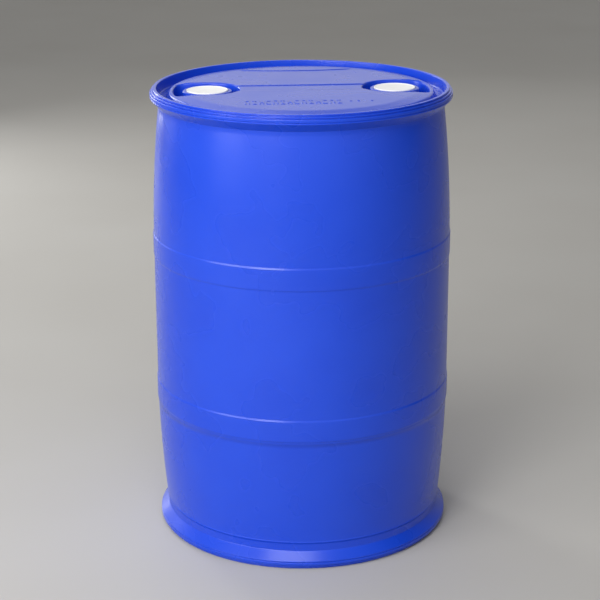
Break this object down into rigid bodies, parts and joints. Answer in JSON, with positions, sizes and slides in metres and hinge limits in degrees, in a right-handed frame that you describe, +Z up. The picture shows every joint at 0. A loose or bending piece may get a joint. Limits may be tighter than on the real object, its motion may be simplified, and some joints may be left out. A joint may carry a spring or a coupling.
{
  "type": "plastic chemical drum",
  "caption": "Closed-head blow-moulded plastic drum with a handling ring at each end, rolling hoops and two screwed bungs under cap seals, for storing and moving liquids",
  "frame": {"origin": "on the floor under the drum's axis: centre of the foot of the lower ring", "axes": "+Z up along the drum's axis, bung axes on X with the fill bung at -X, front at -Y"},
  "size_m": [0.583, 0.5828, 0.882],
  "materials": {
    "shell_blue": "blow-moulded high-density polyethylene, satin gloss, fine mould texture",
    "seal_white": "injection-moulded polyethylene, smooth",
    "plug_natural": "injection-moulded natural polyethylene, smooth",
    "gasket_black": "die-cut EPDM rubber, matt"
  },
  "bodies": {
    "shell": {"drum_shell": "shell_blue"},
    "fill_ring": {"fill_gasket": "gasket_black"},
    "fill_bung": {"fill_plug": "plug_natural"},
    "fill_seal": {"fill_cap_seal": "seal_white"},
    "vent_ring": {"vent_gasket": "gasket_black"},
    "vent_bung": {"vent_plug": "plug_natural"},
    "small_ring": {"small_gasket": "gasket_black"},
    "small_bung": {"small_plug": "plug_natural"},
    "vent_seal": {"vent_cap_seal": "seal_white"}
  },
  "joints": [
    {"name": "fill_lift", "type": "slide", "parent": "shell", "child": "fill_ring", "axis": [0, 0, 1], "range_m": [0, 0.0201]},
    {"name": "fill_turn", "type": "hinge", "parent": "fill_ring", "child": "fill_bung", "pos_m": [-0.18, 0, 0.86], "axis": [0, 0, 1], "range_deg": [0, 1800]},
    {"name": "fill_seal_pull", "type": "slide", "parent": "fill_bung", "child": "fill_seal", "axis": [0, 0, 1], "range_m": [0, 0.05]},
    {"name": "vent_lift", "type": "slide", "parent": "shell", "child": "vent_ring", "axis": [0, 0, 1], "range_m": [0, 0.0186]},
    {"name": "vent_turn", "type": "hinge", "parent": "vent_ring", "child": "vent_bung", "pos_m": [0.18, 0, 0.86], "axis": [0, 0, 1], "range_deg": [0, 2880]},
    {"name": "small_lift", "type": "slide", "parent": "vent_bung", "child": "small_ring", "axis": [0, 0, 1], "range_m": [0, 0.0128]},
    {"name": "small_turn", "type": "hinge", "parent": "small_ring", "child": "small_bung", "pos_m": [0.18, 0, 0.87], "axis": [0, 0, 1], "range_deg": [0, 2520]},
    {"name": "vent_seal_pull", "type": "slide", "parent": "small_bung", "child": "vent_seal", "axis": [0, 0, 1], "range_m": [0, 0.05]}
  ],
  "couplings": [
    {"joint": "fill_lift", "follows": "fill_turn", "m_per_rad": 0.00063662},
    {"joint": "vent_lift", "follows": "vent_turn", "m_per_rad": 0.00036749},
    {"joint": "small_lift", "follows": "small_turn", "m_per_rad": 0.00028871}
  ]
}
